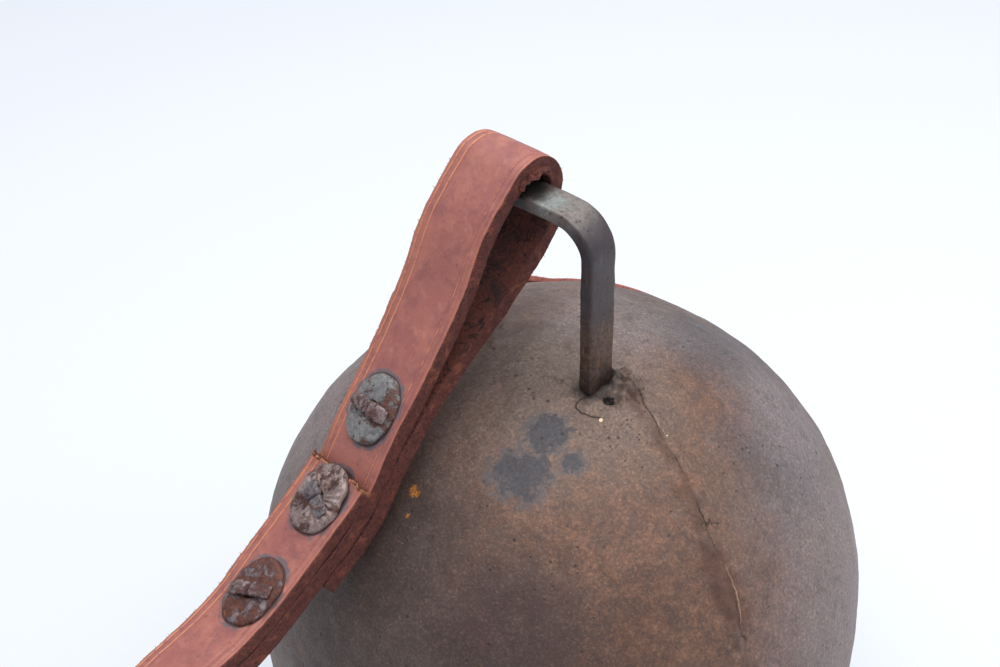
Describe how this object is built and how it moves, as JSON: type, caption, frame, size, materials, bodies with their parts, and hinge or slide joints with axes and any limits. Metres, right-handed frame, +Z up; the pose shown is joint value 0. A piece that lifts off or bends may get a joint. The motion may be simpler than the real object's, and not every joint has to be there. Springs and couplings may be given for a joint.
{
  "type": "cow bell",
  "caption": "Large bulbous hand-forged livestock bell with a flat-bar bail, a swinging clapper and riveted leather collar straps with a buckle.",
  "frame": {"origin": "on the bell's axis at the plane of its mouth, which it stands on", "axes": "+Z up along the bell's axis, X along the bail's crossbar, -Y to the side the front collar strap falls"},
  "size_m": [0.228, 0.6502, 0.2836],
  "materials": {
    "bell_iron": "matte, mottled brown and grey, braze wash",
    "braze": "dull, oxidised",
    "bail_iron": "satin, forged and handled",
    "rusty_iron": "matte, rusted",
    "strap_leather": "satin grain, fibrous cut edges",
    "buckle_iron": "satin, worn"
  },
  "bodies": {
    "bell": {"bell_front_shell": "bell_iron", "bell_back_shell": "bell_iron", "side_seam_right": "braze", "side_seam_left": "braze", "bail": "bail_iron", "foot_braze_right": "braze", "foot_braze_left": "braze", "crown_bar": "bail_iron", "clapper_staple": "bail_iron"},
    "clapper_link": {"clapper_link": "rusty_iron"},
    "clapper": {"clapper_rod": "rusty_iron", "clapper_ball": "rusty_iron"},
    "front_collar": {"under_strap": "strap_leather", "top_strap": "strap_leather", "washer_1": "rusty_iron", "washer_2": "rusty_iron", "washer_3": "rusty_iron", "split_rivet_1": "rusty_iron", "split_rivet_2": "rusty_iron", "split_rivet_3": "rusty_iron", "strap_keeper": "strap_leather", "chape_rivets": "braze"},
    "buckle": {"buckle_frame": "buckle_iron"},
    "tongue": {"buckle_tongue": "buckle_iron"},
    "roller": {"buckle_roller": "buckle_iron"},
    "back_collar": {"back_strap": "strap_leather"}
  },
  "joints": [
    {"name": "clapper_fore_aft", "type": "hinge", "parent": "bell", "child": "clapper_link", "pos_m": [0, -0.007, 0.166], "axis": [1, 0, 0], "range_deg": [-24, 24]},
    {"name": "clapper_sideways", "type": "hinge", "parent": "clapper_link", "child": "clapper", "pos_m": [0, -0.007, 0.1538], "axis": [0, 1, 0], "range_deg": [-20, 20]},
    {"name": "front_collar_swing", "type": "hinge", "parent": "bell", "child": "front_collar", "pos_m": [-0.017, -0.007, 0.2695], "axis": [-1, 0, 0], "range_deg": [0, 140]},
    {"name": "buckle_flip", "type": "hinge", "parent": "front_collar", "child": "buckle", "pos_m": [-0.017, -0.385, 0.0079], "axis": [-1, 0, 0], "range_deg": [0, 75]},
    {"name": "tongue_flip", "type": "hinge", "parent": "buckle", "child": "tongue", "pos_m": [-0.017, -0.385, 0.0079], "axis": [-1, 0, 0], "range_deg": [0, 65]},
    {"name": "roller_spin", "type": "hinge", "parent": "buckle", "child": "roller", "pos_m": [-0.017, -0.4228, 0.00406], "axis": [1, 0, 0], "continuous": true},
    {"name": "back_collar_lift", "type": "hinge", "parent": "bell", "child": "back_collar", "pos_m": [-0.04, -0.027, 0.198], "axis": [1, 0, 0], "range_deg": [0, 40]}
  ]
}
